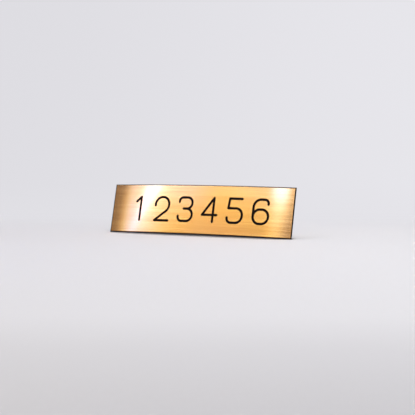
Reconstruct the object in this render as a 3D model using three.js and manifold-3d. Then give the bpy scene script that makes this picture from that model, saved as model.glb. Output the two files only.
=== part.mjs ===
// An adhesive name plate: a thin engraved sheet of gold on black, with a double-coated tape and a
// two-panel release liner on its back. It stands on its lower edge, leans back and is bowed a little
// towards the front.
//
// Millimetres and degrees, +Z up. X runs along the plate, and the front faces -Y. The origin is the
// middle of the back face, which is the back of the release liner.

import * as THREE from "three";
import { mergeVertices } from "three/addons/utils/BufferGeometryUtils.js";
import Module from "manifold-3d";

// The plate
const plateLength = 203.2;
const plateHeight = 50.8;
const coreThickness = 0.72;
const capThickness = 0.08;
const bevelWidth = 1.15;
const bevelDepth = 0.45;

// How it stands: the middle bulges ahead of the ends by bowRise, and the top leans back
const bowRise = 4.8;
const leanAngle = 15;

// The tape and its liner
const adhesiveThickness = 0.05;
const filmThickness = 0.05;
const linerThickness = 0.15;
const tapeInset = 0.8;
const linerSplitHeight = 8.5;
const linerSplitGap = 0.3;

// The clearance that keeps neighbouring layers apart
const layerGap = 0.02;

// The engraving
const engravedText = "123456";
const digitHeight = 26.7;
const digitWidth = 18.3;
const digitPitch = 27.2;
const strokeWidth = 2.54;
const engravingDepth = 0.3;

// How finely curves are cut: an odd number of flats puts one flat across the middle of the plate
const flatCount = 25;
const arcStep = THREE.MathUtils.degToRad(10);
const strokeEndSteps = 8;

// The most of a straight run that the arcs at its ends may take up
const longestArcShare = 0.995;

// How far a cutting solid runs past what it cuts
const overrun = 1;

// Each layer's depths ahead of the back face
const layerAhead = (previous, thickness) => {
  const back = previous.front + layerGap;
  return { back, front: back + thickness };
};
const linerLayer = { back: 0, front: linerThickness };
const backGlueLayer = layerAhead(linerLayer, adhesiveThickness);
const filmLayer = layerAhead(backGlueLayer, filmThickness);
const frontGlueLayer = layerAhead(filmLayer, adhesiveThickness);
const coreLayer = layerAhead(frontGlueLayer, coreThickness);
const capLayer = layerAhead(coreLayer, capThickness);

const halfLength = plateLength / 2;
const halfHeight = plateHeight / 2;
const flatLength = plateLength / flatCount;
const bowRadius = halfLength ** 2 / (2 * bowRise) + bowRise / 2;
const bevelFoot = capLayer.front - bevelDepth;
const engravingFloor = capLayer.front - engravingDepth;

// Half sizes of the box that a digit's centrelines fill
const boxHalfWidth = (digitWidth - strokeWidth) / 2;
const boxHalfHeight = (digitHeight - strokeWidth) / 2;

// The centrelines of the digits. A corner is [across, up, radius]: across and the radius are in half
// widths of the digit's box, and up is in half heights. Closed centrelines run anticlockwise.
const roundCounter = [
  [-1, 0.18, 0.88],
  [-1, -1, 0.88],
  [1, -1, 0.88],
  [1, 0.18, 0.88],
];
const digitForms = {
  1: {
    open: [
      [[0.15, -1], [0.15, 1]],
      [[0.15, 1], [-0.5, 0.6]],
    ],
  },
  2: {
    open: [
      [[-1, 0.28], [-1, 1, 0.96], [1, 1, 0.96], [1, 0, 0.96], [-1, -1]],
      [[-1, -1], [1, -1]],
    ],
  },
  3: {
    open: [
      [[-0.92, 0.62], [-0.92, 1, 0.5], [0.92, 1, 0.7], [0.92, 0.05, 0.7], [-0.25, 0.05]],
      [[-0.25, 0.05], [1, 0.05, 0.78], [1, -1, 0.78], [-1, -1, 0.55], [-1, -0.58]],
    ],
  },
  4: {
    open: [
      [[0.5, -1], [0.5, 1]],
      [[0.5, 1], [-1, -0.42]],
      [[-1, -0.42], [1, -0.42]],
    ],
    counter: [[0.5, 1], [-1, -0.42], [0.5, -0.42]],
  },
  5: {
    open: [
      [[0.86, 1], [-0.78, 1]],
      [[-0.78, 1], [-0.9, 0.2]],
      [[-0.9, 0.2], [1, 0.2, 0.85], [1, -1, 0.85], [-1, -1, 0.55], [-1, -0.58]],
    ],
  },
  6: {
    open: [[[-1, -0.41], [-1, 1, 0.96], [0.92, 1, 0.5], [0.92, 0.62]]],
    closed: [roundCounter],
    counter: roundCounter,
  },
};

const goldFinish = new THREE.MeshStandardMaterial({ color: 0xdcab62, roughness: 0.3, metalness: 1 });
const coreFinish = new THREE.MeshStandardMaterial({ color: 0x15120f, roughness: 0.5, metalness: 0 });
const glueFinish = new THREE.MeshStandardMaterial({ color: 0xd9d3bf, roughness: 0.25, metalness: 0 });
const filmFinish = new THREE.MeshStandardMaterial({ color: 0xe6e6e2, roughness: 0.3, metalness: 0 });
const paperFinish = new THREE.MeshStandardMaterial({ color: 0xc9a877, roughness: 0.7, metalness: 0 });

const wasm = await Module();
wasm.setup();

// Where a length along the plate and a depth ahead of its back face lie once the plate is bowed.
function bowed(along, depth) {
  const angle = along / bowRadius;
  const radius = bowRadius + depth;
  return new THREE.Vector2(radius * Math.sin(angle), bowRadius - radius * Math.cos(angle));
}

// Bows a flat geometry, whose X is the length along the plate and whose -Y is the depth.
function bend(geometry) {
  const position = geometry.getAttribute("position");
  for (let i = 0; i < position.count; i += 1) {
    const { x, y } = bowed(position.getX(i), -position.getY(i));
    position.setXY(i, x, y);
  }
  return geometry;
}

function toSolid(geometry) {
  const bare = geometry.clone();
  bare.deleteAttribute("normal");
  bare.deleteAttribute("uv");
  const merged = mergeVertices(bare, 1e-5);
  const vertProperties = new Float32Array(merged.getAttribute("position").array);
  const triVerts = new Uint32Array(merged.index.array);
  return new wasm.Manifold(new wasm.Mesh({ numProp: 3, vertProperties, triVerts }));
}

function toGeometry(solid) {
  const { vertProperties, triVerts } = solid.getMesh();
  const geometry = new THREE.BufferGeometry();
  geometry.setAttribute("position", new THREE.BufferAttribute(vertProperties, 3));
  geometry.setIndex(new THREE.BufferAttribute(triVerts, 1));
  geometry.computeVertexNormals();
  return geometry;
}

function piece(name, geometry, finish) {
  const mesh = new THREE.Mesh(geometry, finish);
  mesh.name = name;
  return mesh;
}

// Points along the bowed section at one depth: its two ends, and the flats' edges between them.
function lengthwisePoints(reach, depth) {
  const points = [bowed(-reach, depth)];
  for (let i = 1; i < flatCount; i += 1) {
    const along = i * flatLength - halfLength;
    if (Math.abs(along) < reach) points.push(bowed(along, depth));
  }
  points.push(bowed(reach, depth));
  return points;
}

// A bowed sheet between two depths and two heights. Its half length at each depth is reachAt(depth),
// which may change slope at the foot of the bevel.
function bowedSheet({ back, front }, reachAt, bottom, top) {
  const outline = lengthwisePoints(reachAt(back), back);
  const hasBevelFoot = back < bevelFoot && bevelFoot < front;
  if (hasBevelFoot) outline.push(bowed(reachAt(bevelFoot), bevelFoot));
  outline.push(...lengthwisePoints(reachAt(front), front).reverse());
  if (hasBevelFoot) outline.push(bowed(-reachAt(bevelFoot), bevelFoot));
  const section = new THREE.Shape(outline);
  const sheet = new THREE.ExtrudeGeometry(section, { depth: top - bottom, bevelEnabled: false });
  return sheet.translate(0, 0, bottom);
}

// How far the bevel has drawn the plate's outline in at a given depth.
function bevelInset(depth) {
  return bevelWidth * Math.max(0, (depth - bevelFoot) / bevelDepth);
}

// A bar along the plate whose two long edges carry the bevel. It runs past the plate at the back, at
// the front and at both ends.
function bevelledBar() {
  const low = coreLayer.back - overrun;
  const tip = capLayer.front + overrun;
  const tipHalfHeight = halfHeight - bevelInset(tip);
  const section = new THREE.Shape([
    new THREE.Vector2(-halfHeight, -low),
    new THREE.Vector2(-halfHeight, -bevelFoot),
    new THREE.Vector2(-tipHalfHeight, -tip),
    new THREE.Vector2(tipHalfHeight, -tip),
    new THREE.Vector2(halfHeight, -bevelFoot),
    new THREE.Vector2(halfHeight, -low),
  ]);
  const steps = flatCount + 2;
  const bar = new THREE.ExtrudeGeometry(section, {
    depth: steps * flatLength,
    steps,
    bevelEnabled: false,
  });
  bar.translate(0, 0, (-steps * flatLength) / 2).rotateY(Math.PI / 2);
  return toSolid(bend(bar));
}

// One layer of the engraving sheet before it is engraved, bevelled on all four edges.
function sheetBlank(layer, bar) {
  const reachAt = (depth) => halfLength - bevelInset(depth);
  const sheet = bowedSheet(layer, reachAt, -halfHeight - overrun, halfHeight + overrun);
  return toSolid(sheet).intersect(bar);
}

// A layer of the tape or liner, a little smaller than the plate all round.
function tapeLayer(layer, bottom, top) {
  return bowedSheet(layer, () => halfLength - tapeInset, bottom, top);
}

// Half the angle between the two straight runs that meet at a corner.
function halfAngle(before, corner, after) {
  const back = before.clone().sub(corner);
  const ahead = after.clone().sub(corner);
  return back.angleTo(ahead) / 2;
}

// The arc that rounds a corner, from where it leaves one straight run to where it meets the next.
function cornerArc(before, corner, after, setback) {
  const back = before.clone().sub(corner).normalize();
  const ahead = after.clone().sub(corner).normalize();
  const half = halfAngle(before, corner, after);
  const start = back.clone().multiplyScalar(setback).add(corner);
  const end = ahead.clone().multiplyScalar(setback).add(corner);
  const inward = back.clone().add(ahead).normalize();
  const centre = inward.multiplyScalar(setback / Math.cos(half)).add(corner);
  const from = Math.atan2(start.y - centre.y, start.x - centre.x);
  const to = Math.atan2(end.y - centre.y, end.x - centre.x);
  const clockwise = back.cross(ahead) > 0;
  const radius = setback * Math.tan(half);
  const arc = new THREE.ArcCurve(centre.x, centre.y, radius, from, to, clockwise);
  const sweep = Math.PI - 2 * half;
  return arc.getPoints(Math.ceil(sweep / arcStep));
}

// A digit's centreline in millimetres, from its corners. Where a straight run is too short for the
// arcs at its two ends, both shrink alike to leave it a little length.
function centreline(corners, isClosed) {
  const count = corners.length;
  const at = corners.map(([across, up]) => {
    return new THREE.Vector2(across * boxHalfWidth, up * boxHalfHeight);
  });
  const neighbours = (i) => [(i + count - 1) % count, (i + 1) % count];
  const isRounded = (i) => corners[i].length > 2 && (isClosed || (i > 0 && i < count - 1));
  const setbacks = corners.map(([, , radius], i) => {
    if (!isRounded(i)) return 0;
    const [before, after] = neighbours(i);
    return (radius * boxHalfWidth) / Math.tan(halfAngle(at[before], at[i], at[after]));
  });
  const points = [];
  at.forEach((corner, i) => {
    if (!isRounded(i)) {
      points.push(corner);
      return;
    }
    const [before, after] = neighbours(i);
    const shares = [before, after].map((j) => {
      return (longestArcShare * corner.distanceTo(at[j])) / (setbacks[i] + setbacks[j]);
    });
    const setback = setbacks[i] * Math.min(1, ...shares);
    points.push(...cornerArc(at[before], corner, at[after], setback));
  });
  return points;
}

// Points beside a centreline, at a signed distance to its left.
function beside(points, distance, isClosed) {
  const count = points.length;
  return points.map((point, i) => {
    const before = isClosed ? points[(i + count - 1) % count] : points[Math.max(i - 1, 0)];
    const after = isClosed ? points[(i + 1) % count] : points[Math.min(i + 1, count - 1)];
    const along = after.clone().sub(before).normalize();
    return new THREE.Vector2(-along.y, along.x).multiplyScalar(distance).add(point);
  });
}

// The round end of a stroke, from its left side to its right side.
function strokeEnd(tip, inner) {
  const outward = Math.atan2(tip.y - inner.y, tip.x - inner.x);
  const quarter = Math.PI / 2;
  const arc = new THREE.ArcCurve(
    tip.x, tip.y, strokeWidth / 2, outward + quarter, outward - quarter, true,
  );
  return arc.getPoints(strokeEndSteps).slice(1, -1);
}

function openStroke(corners) {
  const points = centreline(corners, false);
  const left = beside(points, strokeWidth / 2, false);
  const right = beside(points, -strokeWidth / 2, false);
  const endCap = strokeEnd(points.at(-1), points.at(-2));
  const startCap = strokeEnd(points[0], points[1]);
  return new THREE.Shape([...left, ...endCap, ...right.reverse(), ...startCap]);
}

function closedStroke(corners) {
  const points = centreline(corners, true);
  const shape = new THREE.Shape(beside(points, -strokeWidth / 2, true));
  shape.holes.push(new THREE.Path(beside(points, strokeWidth / 2, true)));
  return shape;
}

// A solid with the given outline that reaches from the engraving's floor out past the front.
function engravingTool(shape, across) {
  const depth = engravingDepth + overrun;
  const tool = new THREE.ExtrudeGeometry(shape, { depth, bevelEnabled: false });
  tool.rotateX(Math.PI / 2).translate(across, -engravingFloor, 0);
  return toSolid(bend(tool));
}

function digitTool({ open, closed = [] }, across) {
  const shapes = [...open.map(openStroke), ...closed.map(closedStroke)];
  const tools = shapes.map((shape) => engravingTool(shape, across));
  return tools.reduce((joined, tool) => joined.add(tool));
}

// The core and the cap with every digit cut into them, and the cap's scraps inside closed digits.
function engravedPieces() {
  const bar = bevelledBar();
  let core = sheetBlank(coreLayer, bar);
  let cap = sheetBlank(capLayer, bar);
  const islands = [];
  [...engravedText].forEach((digit, place) => {
    const form = digitForms[digit];
    const across = (place - (engravedText.length - 1) / 2) * digitPitch;
    const tool = digitTool(form, across);
    core = core.subtract(tool);
    if (form.counter) {
      const counter = engravingTool(new THREE.Shape(centreline(form.counter, true)), across);
      const island = cap.intersect(counter).subtract(tool);
      islands.push(piece(`cap_island_${digit}`, toGeometry(island), goldFinish));
      cap = cap.subtract(counter);
    }
    cap = cap.subtract(tool);
  });
  return [
    piece("core", toGeometry(core), coreFinish),
    piece("cap", toGeometry(cap), goldFinish),
    ...islands,
  ];
}

// The tape's three layers and the two panels of its liner.
function tapePieces() {
  const reach = halfHeight - tapeInset;
  const lowerTop = linerSplitHeight - linerSplitGap / 2;
  const upperBottom = linerSplitHeight + linerSplitGap / 2;
  return [
    piece("adhesive_front", tapeLayer(frontGlueLayer, -reach, reach), glueFinish),
    piece("tape_film", tapeLayer(filmLayer, -reach, reach), filmFinish),
    piece("adhesive_back", tapeLayer(backGlueLayer, -reach, reach), glueFinish),
    piece("liner_lower", tapeLayer(linerLayer, -reach, lowerTop), paperFinish),
    piece("liner_upper", tapeLayer(linerLayer, upperBottom, reach), paperFinish),
  ];
}

const namePlate = new THREE.Group();
namePlate.add(...engravedPieces(), ...tapePieces());
namePlate.rotation.x = THREE.MathUtils.degToRad(-leanAngle);

const part = new THREE.Group();
part.add(namePlate);

export default part;
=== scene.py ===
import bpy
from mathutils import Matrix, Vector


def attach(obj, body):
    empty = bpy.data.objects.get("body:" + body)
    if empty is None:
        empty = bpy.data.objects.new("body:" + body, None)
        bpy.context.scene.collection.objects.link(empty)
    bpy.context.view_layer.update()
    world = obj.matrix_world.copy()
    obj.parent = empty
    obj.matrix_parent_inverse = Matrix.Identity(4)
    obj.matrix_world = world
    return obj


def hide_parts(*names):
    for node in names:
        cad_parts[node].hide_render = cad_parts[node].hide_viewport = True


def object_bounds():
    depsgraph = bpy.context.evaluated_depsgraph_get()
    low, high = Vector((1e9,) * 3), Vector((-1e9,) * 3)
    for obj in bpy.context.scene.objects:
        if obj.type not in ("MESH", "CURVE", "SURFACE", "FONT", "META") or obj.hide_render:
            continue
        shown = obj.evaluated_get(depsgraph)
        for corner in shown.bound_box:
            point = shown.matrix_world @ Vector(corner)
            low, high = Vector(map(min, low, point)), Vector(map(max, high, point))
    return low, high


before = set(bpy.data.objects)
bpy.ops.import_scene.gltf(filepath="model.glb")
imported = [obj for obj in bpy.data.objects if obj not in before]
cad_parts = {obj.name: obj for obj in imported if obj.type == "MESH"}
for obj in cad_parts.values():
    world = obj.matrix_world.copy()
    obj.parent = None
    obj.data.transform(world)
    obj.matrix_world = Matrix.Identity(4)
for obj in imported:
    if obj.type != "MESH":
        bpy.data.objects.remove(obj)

"""An adhesive name plate: a thin sheet of brushed gold over a black core, engraved with digits,
with a double-coated tape and a two-panel release liner on its back.

New pieces are made flat and in millimetres: X runs along the plate, Z is up, and a depth ahead of
the plate's back face is counted towards -Y. They are then bowed, leant back and brought to metres.
"""
import math

import bmesh
import bpy
from mathutils import Matrix, Vector

# A millimetre, in metres
MILLIMETRE = 0.001

# The plate, in millimetres
PLATE_LENGTH = 203.2
PLATE_HEIGHT = 50.8
BEVEL_WIDTH = 1.15
BEVEL_DEPTH = 0.45
EDGE_ROUNDING = 0.05

# Depths ahead of the back face, in millimetres
LINER_FRONT = 0.15
CORE_BACK = 0.38
CORE_FRONT = 1.10
CAP_BACK = 1.12
CAP_FRONT = 1.20

# How it stands
BOW_RISE = 4.8
LEAN = math.radians(15)

# The liner, a little smaller than the plate all round and split in two panels
LINER_INSET = 0.8
LINER_SPLIT_HEIGHT = 8.5
LINER_SPLIT_GAP = 0.3

# The engraving, in millimetres
ENGRAVED_TEXT = "123456"
DIGIT_HEIGHT = 26.7
DIGIT_WIDTH = 18.3
DIGIT_PITCH = 27.2
STROKE_WIDTH = 2.54
ENGRAVING_DEPTH = 0.3
WALL_SLOPE = 0.5
OVERRUN = 0.1

# How finely curves are cut
BOW_STEP = 1.6
ARC_STEP = math.radians(6)
STROKE_END_STEPS = 14
SHARP_ANGLE = math.radians(20)

# The distance under which two corners of a mesh are one, in millimetres
WELD = 0.002

# A direction in which no two corners lie level, for merging them in the same order each time
MERGING_ORDER = Vector((1, 0.6180, 0.7071))

HALF_LENGTH = PLATE_LENGTH / 2
HALF_HEIGHT = PLATE_HEIGHT / 2
BOW_RADIUS = HALF_LENGTH**2 / (2 * BOW_RISE) + BOW_RISE / 2
BEVEL_FOOT = CAP_FRONT - BEVEL_DEPTH
ENGRAVING_FLOOR = CAP_FRONT - ENGRAVING_DEPTH

# Half sizes of the box that a digit's centrelines fill
BOX_HALF_WIDTH = (DIGIT_WIDTH - STROKE_WIDTH) / 2
BOX_HALF_HEIGHT = (DIGIT_HEIGHT - STROKE_WIDTH) / 2

# The centrelines of the digits. A corner is (across, up, radius): across and the radius are in half
# widths of the digit's box, and up is in half heights. A closed centreline comes back to its start.
ROUND_COUNTER = [(-1, 0.18, 0.88), (-1, -1, 0.88), (1, -1, 0.88), (1, 0.18, 0.88)]
OPEN_STROKES = {
    "1": [
        [(0.15, -1), (0.15, 1)],
        [(0.15, 1), (-0.5, 0.6)],
    ],
    "2": [
        [(-1, 0.28), (-1, 1, 0.96), (1, 1, 0.96), (1, 0, 0.96), (-1, -1)],
        [(-1, -1), (1, -1)],
    ],
    "3": [
        [(-0.92, 0.62), (-0.92, 1, 0.5), (0.92, 1, 0.7), (0.92, 0.05, 0.7), (-0.25, 0.05)],
        [(-0.25, 0.05), (1, 0.05, 0.78), (1, -1, 0.78), (-1, -1, 0.55), (-1, -0.58)],
    ],
    "4": [
        [(0.5, -1), (0.5, 1)],
        [(0.5, 1), (-1, -0.42)],
        [(-1, -0.42), (1, -0.42)],
    ],
    "5": [
        [(0.86, 1), (-0.78, 1)],
        [(-0.78, 1), (-0.9, 0.2)],
        [(-0.9, 0.2), (1, 0.2, 0.85), (1, -1, 0.85), (-1, -1, 0.55), (-1, -0.58)],
    ],
    "6": [
        [(-1, -0.41), (-1, 1, 0.96), (0.92, 1, 0.5), (0.92, 0.62)],
    ],
}
CLOSED_STROKES = {"6": [ROUND_COUNTER]}

# Where the front faces, and the direction up the plate's face
FACING = Vector((0, -math.cos(LEAN), math.sin(LEAN)))
UPWARD = Vector((0, math.sin(LEAN), math.cos(LEAN)))

# Turns are anticlockwise as seen from the front
TURN_AXIS = Vector((0, -1, 0))

cad_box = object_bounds()


# Flat pieces


def bevel_inset(depth):
    """How far the bevel has drawn the plate's outline in at a given depth."""
    return BEVEL_WIDTH * max(0, (depth - BEVEL_FOOT) / BEVEL_DEPTH)


def slab(length, height, levels):
    """A flat block centred on the plate. A level is a depth and the outline's inset there."""
    bm = bmesh.new()
    bmesh.ops.create_grid(bm, size=0.5, matrix=Matrix.Rotation(math.pi / 2, 4, "X"))
    depth, inset = levels[0]
    bmesh.ops.scale(bm, vec=(length - 2 * inset, 1, height - 2 * inset), verts=bm.verts)
    bmesh.ops.translate(bm, vec=(0, -depth, 0), verts=bm.verts)
    back = front = bm.faces[:]
    for next_depth, next_inset in levels[1:]:
        made = bmesh.ops.extrude_face_region(bm, geom=front)["geom"]
        if front != back:
            bmesh.ops.delete(bm, geom=front, context="FACES_ONLY")
        ring = [part for part in made if isinstance(part, bmesh.types.BMVert)]
        front = [part for part in made if isinstance(part, bmesh.types.BMFace)]
        narrowing = (length - 2 * next_inset) / (length - 2 * inset)
        lowering = (height - 2 * next_inset) / (height - 2 * inset)
        bmesh.ops.scale(bm, vec=(narrowing, 1, lowering), verts=ring)
        bmesh.ops.translate(bm, vec=(0, depth - next_depth, 0), verts=ring)
        depth, inset = next_depth, next_inset
    bmesh.ops.recalc_face_normals(bm, faces=bm.faces)
    return bm


def round_edges(bm, is_rounded):
    """Rounds the edges that a test picks."""
    edges = [edge for edge in bm.edges if is_rounded(edge)]
    bmesh.ops.bevel(
        bm, geom=edges, offset=EDGE_ROUNDING, segments=2, affect="EDGES", profile=0.5, material=-1
    )


# The engraving cutter


def route(corners):
    """A centreline's start and end, and the runs and arcs between them, as settings of a spin."""
    at = [Vector((c[0] * BOX_HALF_WIDTH, 0, c[1] * BOX_HALF_HEIGHT)) for c in corners]
    radii = [c[2] * BOX_HALF_WIDTH if len(c) > 2 else 0 for c in corners]
    moves = []
    here = at[0]
    for i in range(1, len(at)):
        heading = (at[i] - here).normalized()
        if not radii[i]:
            moves.append({"cent": here, "angle": 0, "steps": 1, "dvec": at[i] - here})
            here = at[i]
            continue
        leaving = (at[i + 1] - at[i]).normalized()
        turn = math.atan2(heading.cross(leaving).dot(TURN_AXIS), heading.dot(leaving))
        setback = radii[i] * math.tan(abs(turn) / 2)
        arc_start = at[i] - heading * setback
        centre = arc_start + TURN_AXIS.cross(heading) * math.copysign(radii[i], turn)
        moves.append({"cent": here, "angle": 0, "steps": 1, "dvec": arc_start - here})
        steps = math.ceil(abs(turn) / ARC_STEP)
        moves.append({"cent": centre, "angle": turn, "steps": steps, "dvec": (0, 0, 0)})
        here = at[i] + leaving * setback
    return at[0], here, moves


def on_side(geometry, point, side):
    """The corners and edges of a section that lie on one side of its middle."""
    corners = [
        part
        for part in geometry
        if isinstance(part, bmesh.types.BMVert) and (part.co - point).dot(side) > -WELD
    ]
    edges = [
        part
        for part in geometry
        if isinstance(part, bmesh.types.BMEdge) and all(v in corners for v in part.verts)
    ]
    return corners + edges


def groove_half_width(depth):
    """Half the width of an engraved stroke at a depth. Its walls slope in towards the floor."""
    return STROKE_WIDTH / 2 - (CAP_FRONT - depth) * WALL_SLOPE


def stroke_cutter(corners, across, is_closed=False):
    """The solid that a tapered engraving cutter sweeps along one stroke."""
    if is_closed:
        (x0, z0), (x1, z1) = corners[-1][:2], corners[0][:2]
        seam = ((x0 + x1) / 2, (z0 + z1) / 2)
        corners = [seam, *corners, seam]
    start, end, moves = route(corners)
    bm = bmesh.new()
    heading = moves[0]["dvec"].normalized()
    side = heading.cross(TURN_AXIS)
    tip = CAP_FRONT + OVERRUN
    loop = []
    for depth, signs in ((ENGRAVING_FLOOR, (-1, 0, 1)), (tip, (1, 0, -1))):
        for sign in signs:
            reach = side * groove_half_width(depth) * sign
            loop.append(bm.verts.new(start + reach + Vector((0, -depth, 0))))
    section = loop + [bm.edges.new((a, b)) for a, b in zip(loop, loop[1:] + loop[:1])]
    if not is_closed:
        half = on_side(section, start, side)
        bmesh.ops.spin(
            bm, geom=half, cent=start, axis=TURN_AXIS, angle=-math.pi, steps=STROKE_END_STEPS
        )
    for move in moves:
        section = bmesh.ops.spin(bm, geom=section, axis=TURN_AXIS, **move)["geom_last"]
        side.rotate(Matrix.Rotation(move["angle"], 3, TURN_AXIS))
    if not is_closed:
        half = on_side(section, end, side)
        bmesh.ops.spin(
            bm, geom=half, cent=end, axis=TURN_AXIS, angle=math.pi, steps=STROKE_END_STEPS
        )
    bmesh.ops.remove_doubles(bm, verts=bm.verts, dist=WELD)
    bmesh.ops.recalc_face_normals(bm, faces=bm.faces)
    bmesh.ops.translate(bm, vec=(across, 0, 0), verts=bm.verts)
    return bm


def text_cutters():
    """The cutter's solid for every stroke of the engraved text."""
    cutters = []
    for place, digit in enumerate(ENGRAVED_TEXT):
        across = (place - (len(ENGRAVED_TEXT) - 1) / 2) * DIGIT_PITCH
        for corners in OPEN_STROKES[digit]:
            cutters.append(stroke_cutter(corners, across))
        for corners in CLOSED_STROKES.get(digit, []):
            cutters.append(stroke_cutter(corners, across, is_closed=True))
    return cutters


def linked_object(name, data):
    made = bpy.data.objects.new(name, data)
    bpy.context.scene.collection.objects.link(made)
    return made


def to_object(name, bm):
    mesh = bpy.data.meshes.new(name)
    bm.to_mesh(mesh)
    bm.free()
    return linked_object(name, mesh)


def engraved(blank, cutters):
    """A copy of a blank with every cutter's solid taken out of it."""
    block = to_object("blank", blank)
    for cutter in cutters:
        taken = block.modifiers.new("engraving", "BOOLEAN")
        taken.operation = "DIFFERENCE"
        taken.solver = "EXACT"
        taken.object = cutter
    bm = bmesh.new()
    bm.from_object(block, bpy.context.evaluated_depsgraph_get())
    bpy.data.objects.remove(block)
    bm.verts.sort(key=lambda vert: vert.co.dot(MERGING_ORDER))
    bmesh.ops.remove_doubles(bm, verts=bm.verts, dist=WELD)
    return bm


def loose_parts(bm):
    """Each separate shell of a mesh, as a mesh of its own, the largest first."""
    bm.verts.index_update()
    unvisited = set(bm.verts)
    shells = []
    while unvisited:
        shell = set()
        ahead = [unvisited.pop()]
        while ahead:
            vert = ahead.pop()
            shell.add(vert.index)
            linked = {edge.other_vert(vert) for edge in vert.link_edges} & unvisited
            unvisited -= linked
            ahead.extend(linked)
        shells.append(shell)
    parts = []
    for shell in sorted(shells, key=len, reverse=True):
        part = bm.copy()
        others = [vert for vert in part.verts if vert.index not in shell]
        bmesh.ops.delete(part, geom=others, context="VERTS")
        parts.append(part)
    return parts


# Putting flat pieces in their place


def slice_along(bm):
    """Cuts a flat piece across its length, so that it can be bowed."""
    count = math.ceil(PLATE_LENGTH / BOW_STEP)
    for i in range(1, count):
        along = i * PLATE_LENGTH / count - HALF_LENGTH
        geometry = bm.verts[:] + bm.edges[:] + bm.faces[:]
        bmesh.ops.bisect_plane(bm, geom=geometry, plane_co=(along, 0, 0), plane_no=(1, 0, 0))
    bmesh.ops.remove_doubles(bm, verts=bm.verts, dist=WELD)


def stand_up(bm):
    """Bows a flat piece, leans it back and brings it to metres."""
    for vert in bm.verts:
        along, depth, height = vert.co.x, -vert.co.y, vert.co.z
        angle = along / BOW_RADIUS
        radius = BOW_RADIUS + depth
        ahead = radius * math.cos(angle) - BOW_RADIUS
        vert.co = Vector((radius * math.sin(angle), 0, 0)) + FACING * ahead + UPWARD * height
    bmesh.ops.scale(bm, vec=(MILLIMETRE, MILLIMETRE, MILLIMETRE), verts=bm.verts)


def finished_piece(name, bm, body, slot, *materials):
    """A flat piece, bowed, smooth between its sharp edges, and put in place of its CAD node."""
    slice_along(bm)
    stand_up(bm)
    for face in bm.faces:
        face.smooth = True
    for edge in bm.edges:
        edge.smooth = edge.calc_face_angle(0) < SHARP_ANGLE
    made = to_object(f"{name}_finished", bm)
    for material in materials:
        made.data.materials.append(material)
    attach(made, body)
    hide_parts(name)
    return made


# Materials


class Socket:
    """An output of a node. Arithmetic on it adds Math nodes to its material."""

    def __init__(self, finish, output):
        self.finish = finish
        self.output = output

    def math(self, operation, first, second=0.0):
        return self.finish.node("ShaderNodeMath", {"operation": operation}, {0: first, 1: second})

    def __add__(self, other):
        return self.math("ADD", self, other)

    def __radd__(self, other):
        return self.math("ADD", other, self)

    def __sub__(self, other):
        return self.math("SUBTRACT", self, other)

    def __rsub__(self, other):
        return self.math("SUBTRACT", other, self)

    def __mul__(self, other):
        return self.math("MULTIPLY", self, other)

    def __rmul__(self, other):
        return self.math("MULTIPLY", other, self)


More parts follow.
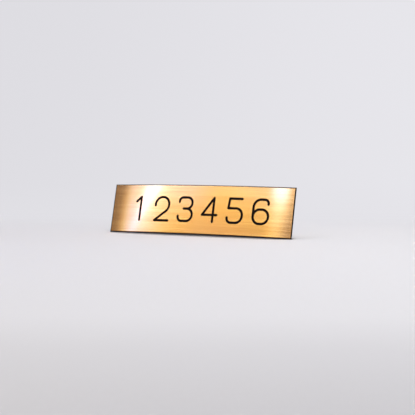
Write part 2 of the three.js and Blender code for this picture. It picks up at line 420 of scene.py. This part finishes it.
class Finish:
    """A material or a world, and the nodes that are added to it."""

    def __init__(self, owner):
        self.owner = owner
        owner.use_nodes = True
        self.tree = owner.node_tree
        self.tree.nodes.clear()

    def node(self, kind, settings=None, inputs=None, output=0):
        """Adds a node. Its settings are set first, then the values or links of its inputs."""
        added = self.tree.nodes.new(kind)
        for name, value in (settings or {}).items():
            if name == "stops":
                ramp = added.color_ramp
                ramp.elements.remove(ramp.elements[1])
                ramp.elements[0].position, ramp.elements[0].color = value[0]
                for position, colour in value[1:]:
                    ramp.elements.new(position).color = colour
            else:
                setattr(added, name, value)
        for key, value in (inputs or {}).items():
            if isinstance(value, Socket):
                self.tree.links.new(value.output, added.inputs[key])
            else:
                added.inputs[key].default_value = value
        return Socket(self, added.outputs[output]) if len(added.outputs) else None

    def across_face(self, along, up):
        """Object coordinates turned to the plate's face, and scaled along it and up it."""
        place = self.node("ShaderNodeTexCoord", output="Object")
        inputs = {"Vector": place, "Rotation": (LEAN, 0, 0)}
        turned = self.node("ShaderNodeMapping", {"vector_type": "POINT"}, inputs)
        return self.node(
            "ShaderNodeVectorMath", {"operation": "MULTIPLY"}, {0: turned, 1: (along, 0, up)}
        )

    def noise(self, vector, detail=2.0, roughness=0.5, scale=1.0):
        inputs = {"Vector": vector, "Scale": scale, "Detail": detail, "Roughness": roughness}
        return self.node("ShaderNodeTexNoise", inputs=inputs)

    def mix(self, share, first, second):
        """A colour between two colours."""
        settings = {"data_type": "RGBA"}
        return self.node("ShaderNodeMix", settings, {0: share, 6: first, 7: second}, output=2)

    def smooth_step(self, value, low, high):
        """0 up to low, 1 from high, and an even curve between."""
        inputs = {"Value": value, "From Min": low, "From Max": high}
        return self.node("ShaderNodeMapRange", {"interpolation_type": "SMOOTHSTEP"}, inputs)

    def bump(self, height, distance, strength=1.0):
        """A normal from a height, where distance is the height of 1 in metres."""
        inputs = {"Height": height, "Distance": distance, "Strength": strength}
        return self.node("ShaderNodeBump", inputs=inputs, output="Normal")

    def surface(self, **inputs):
        """Ends a material with a surface of the named inputs. An underscore stands for a space."""
        named = {key.replace("_", " "): value for key, value in inputs.items()}
        shader = self.node("ShaderNodeBsdfPrincipled", inputs=named)
        self.node("ShaderNodeOutputMaterial", inputs={"Surface": shader})
        return self.owner

    def seen_directly(self):
        """1 for what the camera sees, also in a mirror or through glass, and 0 for soft light."""
        camera_ray = self.node("ShaderNodeLightPath", output="Is Camera Ray")
        mirrored = self.node("ShaderNodeLightPath", output="Is Glossy Ray")
        through_glass = self.node("ShaderNodeLightPath", output="Is Transmission Ray")
        return self.smooth_step(camera_ray + mirrored + through_glass, 0, 1)

    def scaled(self, colour, level):
        """A colour made brighter or darker by a level."""
        inputs = {0: colour, "Scale": level}
        return self.node("ShaderNodeVectorMath", {"operation": "SCALE"}, inputs)

    def glow(self, colour, level):
        """Ends a material with an even glow."""
        shader = self.node("ShaderNodeEmission", inputs={"Color": self.scaled(colour, level)})
        self.node("ShaderNodeOutputMaterial", inputs={"Surface": shader})
        return self.owner


def brushed_gold():
    """A metallised gold layer under clear lacquer, brushed along the plate."""
    finish = Finish(bpy.data.materials.new("brushed_gold"))
    fine = finish.noise(finish.across_face(30, 3200), detail=3, roughness=0.6)
    broad = finish.noise(finish.across_face(8, 560), detail=3, roughness=0.7)
    streaks = fine * 0.35 + broad * 0.65
    shade = finish.smooth_step(streaks, 0.36, 0.64)
    colour = finish.mix(shade, (0.92, 0.40, 0.076, 1), (1.0, 0.485, 0.114, 1))
    normal = finish.bump(streaks, 0.000012, 0.2)
    return finish.surface(
        Base_Color=colour,
        Metallic=1.0,
        Roughness=0.13 + shade * 0.04,
        Anisotropic=0.9,
        Anisotropic_Rotation=0.25,
        Coat_Weight=1.0,
        Coat_Roughness=0.08,
        Coat_IOR=1.8,
        Normal=normal,
    )


def black_core():
    """Black acrylic with a satin gloss, and the fine marks of the saw on it."""
    finish = Finish(bpy.data.materials.new("black_core"))
    marks = finish.noise(finish.across_face(900, 900), detail=4, roughness=0.65)
    grain = finish.noise(finish.across_face(150, 5000), detail=2)
    colour = finish.mix(marks, (0.008, 0.0045, 0.002, 1), (0.018, 0.011, 0.006, 1))
    normal = finish.bump(marks * 0.6 + grain * 0.4, 0.00003, 0.4)
    return finish.surface(
        Base_Color=colour,
        Roughness=0.30 + marks * 0.16,
        Specular_IOR_Level=0.25,
        Specular_Tint=(1, 0.82, 0.66, 1),
        Normal=normal,
    )


def engraved_shaded_black():
    """The same acrylic where the engraving cutter has left it rough and dull, painted darker and
    with a weaker gloss than the border as painted shade in the recessed strokes.
    """
    finish = Finish(bpy.data.materials.new("engraved_shaded_black"))
    marks = finish.noise(finish.across_face(2200, 2200), detail=4, roughness=0.65)
    # Painted shade: a darker black than the border's, for the shade in the recessed strokes.
    colour = finish.mix(marks, (0.004, 0.0016, 0.0006, 1), (0.013, 0.0065, 0.003, 1))
    normal = finish.bump(marks, 0.00004, 0.4)
    return finish.surface(
        Base_Color=colour,
        Roughness=0.6 + marks * 0.2,
        Specular_IOR_Level=0.04,
        Specular_Tint=(1, 0.82, 0.66, 1),
        Normal=normal,
    )


def release_paper():
    """Brown coated release paper, with fibres and a faint sheen."""
    finish = Finish(bpy.data.materials.new("release_paper"))
    fibres = finish.noise(finish.across_face(420, 1500), detail=5, roughness=0.65)
    clouds = finish.noise(finish.across_face(45, 60), detail=3)
    flecks = finish.noise(finish.across_face(1400, 3200), detail=2)
    tone = fibres * 0.6 + clouds * 0.4
    lightness = finish.smooth_step(tone, 0.3, 0.7)
    paper = finish.mix(lightness, (0.40, 0.25, 0.115, 1), (0.60, 0.41, 0.22, 1))
    fleck_share = finish.smooth_step(flecks, 0.66, 0.74) * 0.5
    flecked = finish.mix(fleck_share, paper, (0.24, 0.13, 0.05, 1))
    normal = finish.bump(tone, 0.00005, 0.35)
    return finish.surface(
        Base_Color=flecked,
        Roughness=0.42 + fibres * 0.18,
        Coat_Weight=0.15,
        Coat_Roughness=0.35,
        Normal=normal,
    )


def clear_glue():
    """Clear, slightly yellow acrylic glue, a little uneven."""
    finish = Finish(bpy.data.materials.new("clear_glue"))
    ripple = finish.noise(finish.across_face(260, 260), detail=3)
    cells = {"Vector": finish.across_face(500, 500), "Scale": 1.0}
    from_bubble = finish.node("ShaderNodeTexVoronoi", inputs=cells)
    pale = finish.mix(ripple, (0.62, 0.57, 0.42, 1), (0.74, 0.70, 0.58, 1))
    bubbles = finish.smooth_step(from_bubble, 0.12, 0.08)
    spotted = finish.mix(bubbles, pale, (0.80, 0.78, 0.70, 1))
    normal = finish.bump(ripple, 0.0001, 0.3)
    return finish.surface(Base_Color=spotted, Roughness=0.12 + ripple * 0.16, Normal=normal)


def carrier_film():
    """Milky polyester film."""
    finish = Finish(bpy.data.materials.new("carrier_film"))
    haze = finish.noise(finish.across_face(30, 90), detail=3)
    draw_lines = finish.noise(finish.across_face(8, 1600), detail=2)
    colour = finish.mix(haze, (0.70, 0.72, 0.72, 1), (0.82, 0.83, 0.82, 1))
    normal = finish.bump(draw_lines, 0.00002, 0.25)
    return finish.surface(Base_Color=colour, Roughness=0.24 + haze * 0.12, Normal=normal)


# The pieces

core_blank = slab(
    PLATE_LENGTH,
    PLATE_HEIGHT,
    [(CORE_BACK, 0), (BEVEL_FOOT, 0), (CORE_FRONT, bevel_inset(CORE_FRONT))],
)
round_edges(core_blank, lambda edge: max(-vert.co.y for vert in edge.verts) < CORE_FRONT - WELD)
cap_blank = slab(
    PLATE_LENGTH,
    PLATE_HEIGHT,
    [(CAP_BACK, bevel_inset(CAP_BACK)), (CAP_FRONT, bevel_inset(CAP_FRONT))],
)
cutters = [to_object("cutter", cutter) for cutter in text_cutters()]
core_mesh = engraved(core_blank, cutters)
cap_mesh, island_6_mesh, island_4_mesh = loose_parts(engraved(cap_blank, cutters))
for cutter in cutters:
    bpy.data.objects.remove(cutter)

black = black_core()
dull_shaded_black = engraved_shaded_black()
gold = brushed_gold()


# The least distance between the engraving and the bevel, in millimetres, and how squarely a face of
# the gold layer looks ahead if it is the brushed front
PLAIN_MARGIN = 1
SQUARELY_AHEAD = 0.99


def is_engraved(face):
    """Whether a face of a flat piece lies inside the border, so that the cutter made it."""
    middle = face.calc_center_median()
    return (
        abs(middle.x) < HALF_LENGTH - BEVEL_WIDTH - PLAIN_MARGIN
        and abs(middle.z) < HALF_HEIGHT - BEVEL_WIDTH - PLAIN_MARGIN
        and middle.y < -CORE_BACK - WELD
    )


for face in core_mesh.faces:
    face.material_index = 1 if is_engraved(face) else 0
finished_piece("core", core_mesh, "plate", "black_core", black, dull_shaded_black)
gold_pieces = []
for name, mesh in (
    ("cap", cap_mesh),
    ("cap_island_4", island_4_mesh),
    ("cap_island_6", island_6_mesh),
):
    for face in mesh.faces:
        is_front = face.normal.y < -SQUARELY_AHEAD
        face.material_index = 0 if is_front else 2 if is_engraved(face) else 1
    gold_pieces.append(finished_piece(name, mesh, "plate", "gold_cap", gold, black, dull_shaded_black))

# A surface with no tangent of its own is brushed round the centre of its mesh's texture space. With
# that centre 10 metres behind the plate, the brushing runs straight along it.
BRUSHING_CENTRE = (0, 10, 0)

for piece in gold_pieces:
    piece.data.use_auto_texspace = False
    piece.data.texspace_location = BRUSHING_CENTRE
    piece.data.texspace_size = (1, 1, 1)

paper = release_paper()
liner_reach = HALF_HEIGHT - LINER_INSET
for name, bottom, top in (
    ("liner_lower", -liner_reach, LINER_SPLIT_HEIGHT - LINER_SPLIT_GAP / 2),
    ("liner_upper", LINER_SPLIT_HEIGHT + LINER_SPLIT_GAP / 2, liner_reach),
):
    panel = slab(PLATE_LENGTH - 2 * LINER_INSET, top - bottom, [(0, 0), (LINER_FRONT, 0)])
    bmesh.ops.translate(panel, vec=(0, 0, (bottom + top) / 2), verts=panel.verts)
    finished_piece(name, panel, name, "liner_paper", paper)

glue = clear_glue()
film = carrier_film()
for name, material in (("adhesive_front", glue), ("adhesive_back", glue), ("tape_film", film)):
    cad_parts[name].material_slots[0].material = material


# The studio, in metres. Its parts are placed round the plate, and face it.


def direction(azimuth, elevation):
    """The direction out from the plate at an azimuth round it, from its front, and an elevation."""
    a, e = math.radians(azimuth), math.radians(elevation)
    return Vector((math.sin(a) * math.cos(e), -math.cos(a) * math.cos(e), math.sin(e)))


def place_facing(placed, azimuth, elevation, distance, target=Vector()):
    """Puts a card, a lamp or the camera out from a target, and turns it to face that."""
    outward = direction(azimuth, elevation)
    placed.location = target + outward * distance
    placed.rotation_mode = "QUATERNION"
    placed.rotation_quaternion = outward.to_track_quat("Z", "Y")


# The camera, at the photograph's viewing angle

CAMERA_AZIMUTH = 26.4
CAMERA_ELEVATION = 3.3
CAMERA_DISTANCE = 0.974
CAMERA_TARGET = Vector((0.00985, 0.00179, 0.00243))
CAMERA_LENS = 84.67


def camera():
    data = bpy.data.cameras.new("camera")
    data.sensor_width = 36
    data.lens = CAMERA_LENS
    data.clip_start = 0.01
    data.clip_end = 50
    made = linked_object("camera", data)
    place_facing(made, CAMERA_AZIMUTH, CAMERA_ELEVATION, CAMERA_DISTANCE, CAMERA_TARGET)
    bpy.context.scene.camera = made


# The floor and backdrop, one sheet of pale paper that sweeps up behind the plate

FLOOR_HEIGHT = cad_box[0].z
SWEEP_WIDTH = 6.0
FLOOR_FRONT = -3.0
FLOOR_BACK = 1.4
SWEEP_RADIUS = 0.9
SWEEP_STEPS = 24
WALL_RISE = 2.0

# The paper's colours, with painted light in them. The left and the right paper are each a pair, for
# the grain; the left is painted dimmer and the right brighter, as a painted falloff of light. The
# near paper, close to the camera, is painted darker as painted shade. It and the wall behind have a
# shade at the left and one at the right, and the wall's glow is painted brighter towards the right.
# The darkest colour is a painted contact shadow round the plate's foot.
PAPER_GRAIN = 300
PAINTED_DIM_LEFT_PAPER = ((0.75, 0.745, 0.77, 1), (0.76, 0.755, 0.78, 1))
PAINTED_BRIGHT_RIGHT_PAPER = ((0.855, 0.85, 0.875, 1), (0.865, 0.86, 0.885, 1))
PAINTED_DARK_NEAR_PAPER = ((0.585, 0.58, 0.60, 1), (0.64, 0.63, 0.655, 1))
PAINTED_CONTACT_SHADOW = (0.10, 0.092, 0.105, 1)
PAINTED_WALL_FALLOFF = ((0.732, 0.724, 0.762, 1), (0.797, 0.79, 0.83, 1))

# Where one shade gives way to the next, across the sheet and in depth from the plate. The near
# paper comes in by two parts, each with its share.
LEFT_TO_RIGHT = (-0.2, 0.2)
WALL_LEFT_TO_RIGHT = (-0.75, 0.75)
FIRST_NEAR = (-0.465, -0.575)
FIRST_NEAR_SHARE = 0.36
SECOND_NEAR = (-0.52, -0.74)
SECOND_NEAR_SHARE = 0.6
FLOOR_TO_WALL = (0.0, 0.28)

# How far round a point the paper looks for the plate's edge, and how shut in it is where it is
# painted dark as a contact shadow
CONTACT_REACH = 0.03
CONTACT_OPENNESS = (0.86, 0.60)


def backdrop_paper():
    """Matt paper on the floor, with painted light in its colour: dimmer at the left, brighter at
    the right, darker near the camera, and a painted contact shadow round the plate's foot. Behind,
    where it is seen directly, it glows in the wall's shade, painted brighter towards the right.
    """
    finish = Finish(bpy.data.materials.new("backdrop_paper"))
    place = finish.node("ShaderNodeTexCoord", output="Object")
    side = finish.node("ShaderNodeSeparateXYZ", inputs={0: place}, output="X")
    depth = finish.node("ShaderNodeSeparateXYZ", inputs={0: place}, output="Y")
    grain = finish.noise(place, detail=3, scale=PAPER_GRAIN)
    # Painted light: the paper is painted dimmer at the left and brighter at the right, and painted
    # darker towards the camera.
    rightness = finish.smooth_step(side, *LEFT_TO_RIGHT)
    paper = finish.mix(rightness, finish.mix(grain, *PAINTED_DIM_LEFT_PAPER), finish.mix(grain, *PAINTED_BRIGHT_RIGHT_PAPER))
    nearness = finish.smooth_step(depth, *FIRST_NEAR) * FIRST_NEAR_SHARE
    nearness = nearness + finish.smooth_step(depth, *SECOND_NEAR) * SECOND_NEAR_SHARE
    paper = finish.mix(nearness, paper, finish.mix(rightness, *PAINTED_DARK_NEAR_PAPER))
    # Painted contact shadow: the paper's colour is painted dark where the plate shuts it in.
    openness = finish.node(
        "ShaderNodeAmbientOcclusion", {"samples": 16}, {"Distance": CONTACT_REACH}, output="AO"
    )
    paper = finish.mix(finish.smooth_step(openness, *CONTACT_OPENNESS), paper, PAINTED_CONTACT_SHADOW)
    floor = finish.node("ShaderNodeBsdfPrincipled", inputs={"Base Color": paper, "Roughness": 0.9})
    # Painted light: the wall's glow is painted brighter towards the right.
    wall_colour = finish.mix(finish.smooth_step(side, *WALL_LEFT_TO_RIGHT), *PAINTED_WALL_FALLOFF)
    wall = finish.node("ShaderNodeEmission", inputs={"Color": wall_colour})
    share = finish.smooth_step(depth, *FLOOR_TO_WALL) * finish.seen_directly()
    mixed = finish.node("ShaderNodeMixShader", inputs={0: share, 1: floor, 2: wall})
    finish.node("ShaderNodeOutputMaterial", inputs={"Surface": mixed})
    return finish.owner


def floor_and_backdrop():
    """The sheet of paper, turned so that its wall faces the camera."""
    bm = bmesh.new()
    corners = [
        bm.verts.new((x, FLOOR_FRONT, FLOOR_HEIGHT)) for x in (-SWEEP_WIDTH / 2, SWEEP_WIDTH / 2)
    ]
    edge = [*corners, bm.edges.new(corners)]
    centre = (0, FLOOR_BACK, FLOOR_HEIGHT + SWEEP_RADIUS)
    moves = (
        {"angle": 0, "steps": 1, "dvec": (0, FLOOR_BACK - FLOOR_FRONT, 0)},
        {"angle": math.pi / 2, "steps": SWEEP_STEPS, "dvec": (0, 0, 0)},
        {"angle": 0, "steps": 1, "dvec": (0, 0, WALL_RISE)},
    )
    for move in moves:
        edge = bmesh.ops.spin(bm, geom=edge, cent=centre, axis=(1, 0, 0), **move)["geom_last"]
    bmesh.ops.recalc_face_normals(bm, faces=bm.faces)
    for face in bm.faces:
        face.smooth = True
    sweep = to_object("floor_and_backdrop", bm)
    sweep.rotation_euler.z = math.radians(CAMERA_AZIMUTH)
    sweep.data.materials.append(backdrop_paper())


# The lights. A lamp lights the scene, and two cards show only in what mirrors them.


def soft_lamp(name, azimuth, elevation, distance, size, power):
    data = bpy.data.lights.new(name, "AREA")
    data.shape = "DISK"
    data.size = size
    data.energy = power
    lamp = linked_object(name, data)
    place_facing(lamp, azimuth, elevation, distance)
    lamp.visible_glossy = False


def card_object(name, azimuth, elevation, distance, width, height):
    """A glowing card that only shows in reflections. It faces the plate."""
    bm = bmesh.new()
    bmesh.ops.create_grid(bm, size=0.5)
    bmesh.ops.scale(bm, vec=(width, height, 1), verts=bm.verts)
    card = to_object(name, bm)
    place_facing(card, azimuth, elevation, distance)
    card.visible_camera = False
    card.visible_diffuse = False
    card.visible_shadow = False
    card.visible_transmission = False
    return card


# The card that the gold mirrors: a gradient with a leaning bright strip, a bright upper right
# corner and two dim ends. A pair of places, in metres from the card's middle, is where a change of
# its light starts and where it is whole. A pair of levels is the lower one, and what comes on top
# of it further up. A fade is the share of the light that is lost.
RISE = (-0.14, 0.12)
RISE_LEVELS = (0.32, 1.2)
STEP = (-0.005, 0.02)
STEP_LEVEL = 0.1
TAIL = (0.05, -0.25)
TAIL_LEVEL = 1.05
TAIL_TOP = (-0.07, 0)
TAIL_TOP_FADE = 0.5
LEFT_END = (-0.1765, -0.2015)
LEFT_END_LEAN = 0.08
LEFT_END_FADE = 0.855
RIGHT_END = (0.172, 0.205)
RIGHT_END_FADE = 0.6
STRIP_LEFT = (-0.148, -0.130)
STRIP_LEFT_LEAN = 0.39
STRIP_RIGHT = (-0.095, -0.113)
STRIP_RIGHT_LEAN = 0.68
STRIP_TOP = (-0.09, -0.02)
STRIP_LEVELS = (1.9, 1.1)
CORNER_LEFT = (0.145, 0.165)
CORNER_RIGHT = (0.196, 0.176)
CORNER_TOP = (0.008, 0.042)
CORNER_LEVELS = (0.2, 2.0)
CORNER_FLARE = (0.01, 0.035)
CORNER_FLARE_WIDTH = 0.006
CORNER_WHITE_LEVEL = 0.2

# The card's colour by its level, from dim to bright, and the bluer one of the haze round the strip
LEVEL_TO_STOP = 0.4
CARD_COLOURS = [
    (0.20, (0.45, 0.45, 0.54, 1)),
    (0.34, (0.435, 0.435, 0.22, 1)),
    (0.52, (0.35, 0.45, 0.58, 1)),
    (0.88, (0.31, 0.45, 1.00, 1)),
]
HAZE_COLOUR = (0.33, 0.44, 1.12, 1)
HAZE_RIGHT = (0.03, -0.05)
HAZE_TOP = (-0.04, -0.01)
HAZE_SHARE = 0.6
LOW_HAZE_RIGHT = (-0.09, -0.18)
LOW_HAZE_LEFT = (-0.19, -0.172)
LOW_HAZE_TOP = (-0.03, -0.06)
LOW_HAZE_SHARE = 0.9
CARD_POWER = 2.2


def gradient_card():
    card = card_object(
        "gradient_card", azimuth=-27, elevation=27, distance=0.45, width=0.70, height=0.60
    )
    finish = Finish(bpy.data.materials.new("gradient_card"))
    step = finish.smooth_step
    place = finish.node("ShaderNodeTexCoord", output="Object")
    across = finish.node("ShaderNodeSeparateXYZ", inputs={0: place}, output="X")
    up = finish.node("ShaderNodeSeparateXYZ", inputs={0: place}, output="Y")

    base = RISE_LEVELS[0] + step(up, *RISE) * RISE_LEVELS[1] + step(up, *STEP) * STEP_LEVEL
    tail = step(across, *TAIL) * (TAIL_LEVEL - step(up, *TAIL_TOP) * TAIL_TOP_FADE)
    left_end = step(across - up * LEFT_END_LEAN, *LEFT_END)
    right_end = step(across, *RIGHT_END)
    level = (base + tail) * (1 - left_end * LEFT_END_FADE) * (1 - right_end * RIGHT_END_FADE)

    strip = step(across - up * STRIP_LEFT_LEAN, *STRIP_LEFT)
    strip = strip * step(across - up * STRIP_RIGHT_LEAN, *STRIP_RIGHT)
    level = level + strip * (STRIP_LEVELS[0] + step(up, *STRIP_TOP) * STRIP_LEVELS[1])

    corner = step(across + step(up, *CORNER_FLARE) * CORNER_FLARE_WIDTH, *CORNER_LEFT)
    corner = corner * step(across, *CORNER_RIGHT)
    level = level + corner * (CORNER_LEVELS[0] + step(up, *CORNER_TOP) * CORNER_LEVELS[1])

    ramp = {"stops": CARD_COLOURS}
    colour = finish.node("ShaderNodeValToRGB", ramp, {"Fac": level * LEVEL_TO_STOP})
    haze = step(across, *HAZE_RIGHT) * step(up, *HAZE_TOP)
    low_haze = step(across, *LOW_HAZE_RIGHT) * step(across, *LOW_HAZE_LEFT)
    low_haze = low_haze * step(up, *LOW_HAZE_TOP)
    share = haze * HAZE_SHARE + low_haze * LOW_HAZE_SHARE
    colour = finish.mix(share, colour, HAZE_COLOUR)
    level = level + corner * CORNER_WHITE_LEVEL
    card.data.materials.append(finish.glow(colour, level * CARD_POWER))


TOP_CARD_COLOUR = (1, 0.87, 0.72)
TOP_CARD_LEVEL = 25

# How many soft bounces a ray has behind it where it no longer meets the top card, and where it does
TOP_CARD_BOUNCES = (0.9, 0.1)


def top_card():
    """A bright card over the plate, for its upper border. The floor gets no glint of it."""
    card = card_object("top_card", azimuth=-56, elevation=57, distance=0.8, width=0.62, height=0.4)
    finish = Finish(bpy.data.materials.new("top_card"))
    soft_bounces = finish.node("ShaderNodeLightPath", output="Diffuse Depth")
    level = finish.smooth_step(soft_bounces, *TOP_CARD_BOUNCES) * TOP_CARD_LEVEL
    card.data.materials.append(finish.glow(TOP_CARD_COLOUR, level))


WORLD_COLOUR = (0.985, 0.98, 1)
WORLD_LEVEL = 0.55
WORLD_SEEN_GAIN = 0.2


def world_light():
    """An even light from all round, which is seen as pale as the backdrop."""
    finish = Finish(bpy.data.worlds.new("studio"))
    level = WORLD_LEVEL + finish.seen_directly() * WORLD_SEEN_GAIN
    light = finish.scaled(WORLD_COLOUR, level)
    shader = finish.node("ShaderNodeBackground", inputs={"Color": light})
    finish.node("ShaderNodeOutputWorld", inputs={"Surface": shader})
    bpy.context.scene.world = finish.owner


floor_and_backdrop()
gradient_card()
top_card()
soft_lamp("key_lamp", azimuth=62, elevation=70, distance=1.4, size=0.9, power=7.8)
world_light()
camera()
bpy.context.scene.view_settings.view_transform = "Standard"

bpy.context.view_layer.update()
